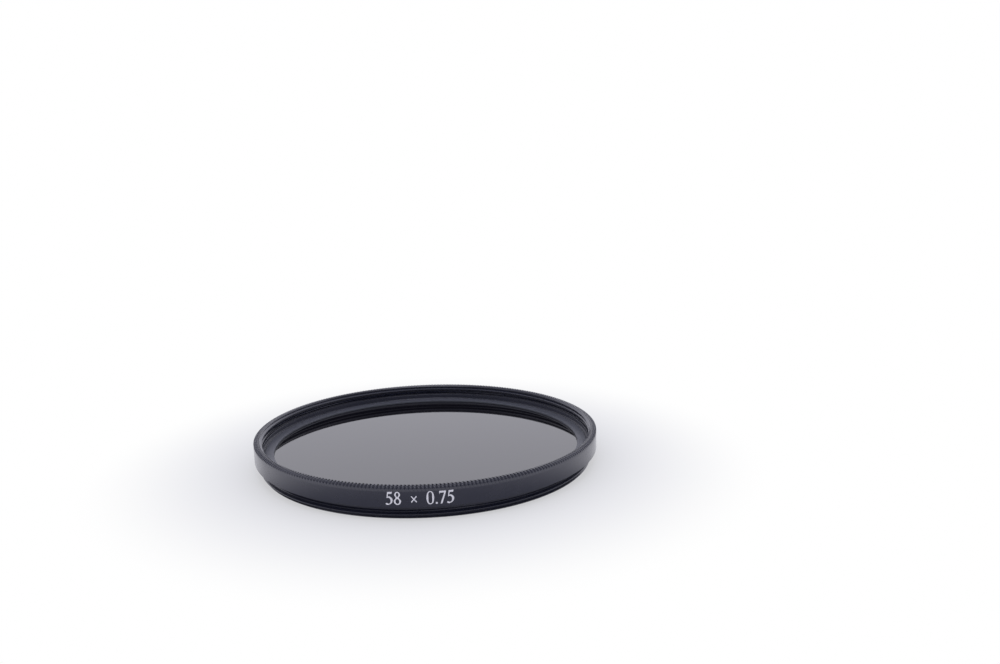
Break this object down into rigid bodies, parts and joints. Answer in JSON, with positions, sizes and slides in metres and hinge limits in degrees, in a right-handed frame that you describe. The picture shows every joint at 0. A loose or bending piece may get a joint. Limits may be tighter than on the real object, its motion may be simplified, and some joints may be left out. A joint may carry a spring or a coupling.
{
  "type": "infrared-pass screw-in lens filter",
  "caption": "Dark infrared-pass glass disc held by a retaining ring in a knurled, threaded black ring that screws onto a camera lens.",
  "frame": {"origin": "centre of the rear face, on the optical axis, at the lowest point of the part as it rests", "axes": "+Z along the optical axis, away from the camera lens and out of the front thread; X and Y lie in the rear face and are alike, because the part is round"},
  "size_m": [0.06, 0.06, 0.0056],
  "materials": {
    "rim_anodised": "black anodised, satin",
    "filter_glass": "polished, opaque to visible light",
    "ring_anodised": "black anodised, matt"
  },
  "bodies": {
    "root": {"rim": "rim_anodised", "glass": "filter_glass", "retaining_ring": "ring_anodised"}
  },
  "joints": []
}
